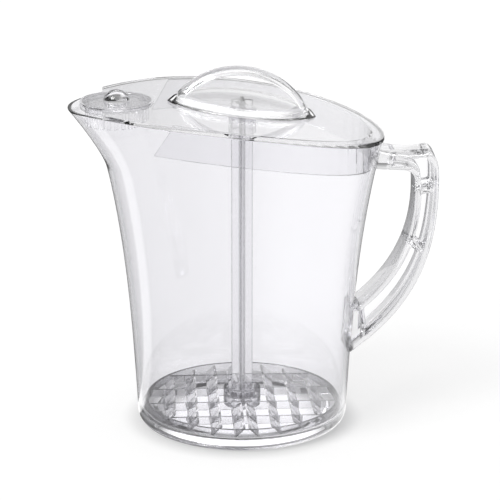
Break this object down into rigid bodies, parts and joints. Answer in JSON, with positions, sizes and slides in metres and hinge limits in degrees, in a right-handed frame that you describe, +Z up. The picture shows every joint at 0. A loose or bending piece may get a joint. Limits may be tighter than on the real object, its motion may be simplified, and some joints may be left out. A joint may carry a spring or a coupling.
{
  "type": "quick-stir pitcher",
  "caption": "Clear pitcher with an egg-shaped arched rim, ribbed handle, lid with a turning strainer in the spout, and a plunger with a louvred stirring disc.",
  "frame": {"origin": "centre of the foot ring's sole, on the plunger's axis", "axes": "+Z up along the plunger's axis, +X towards the handle, -X towards the spout"},
  "size_m": [0.2375, 0.1476, 0.2368],
  "materials": {
    "body_clear": "clear, polished",
    "handle_clear": "clear, polished",
    "lid_clear": "clear, polished",
    "dial_clear": "clear, polished",
    "grip_clear": "clear, polished",
    "shaft_clear": "clear, polished",
    "disc_clear": "clear, polished"
  },
  "bodies": {
    "pitcher": {"pitcher_body": "body_clear", "pitcher_handle": "handle_clear"},
    "lid": {"lid": "lid_clear"},
    "dial": {"strainer_dial": "dial_clear"},
    "plunger": {"plunger_grip": "grip_clear", "plunger_shaft": "shaft_clear", "stirring_disc": "disc_clear"}
  },
  "joints": [
    {"name": "lid_lift", "type": "slide", "parent": "pitcher", "child": "lid", "axis": [0, 0, 1], "range_m": [0, 0.215]},
    {"name": "plunger_slide", "type": "slide", "parent": "lid", "child": "plunger", "axis": [0, 0, 1], "range_m": [0, 0.165]},
    {"name": "dial_turn", "type": "hinge", "parent": "lid", "child": "dial", "pos_m": [-0.08, 0, 0.21649], "axis": [-0.0065, 0, 1], "range_deg": [0, 180]}
  ]
}
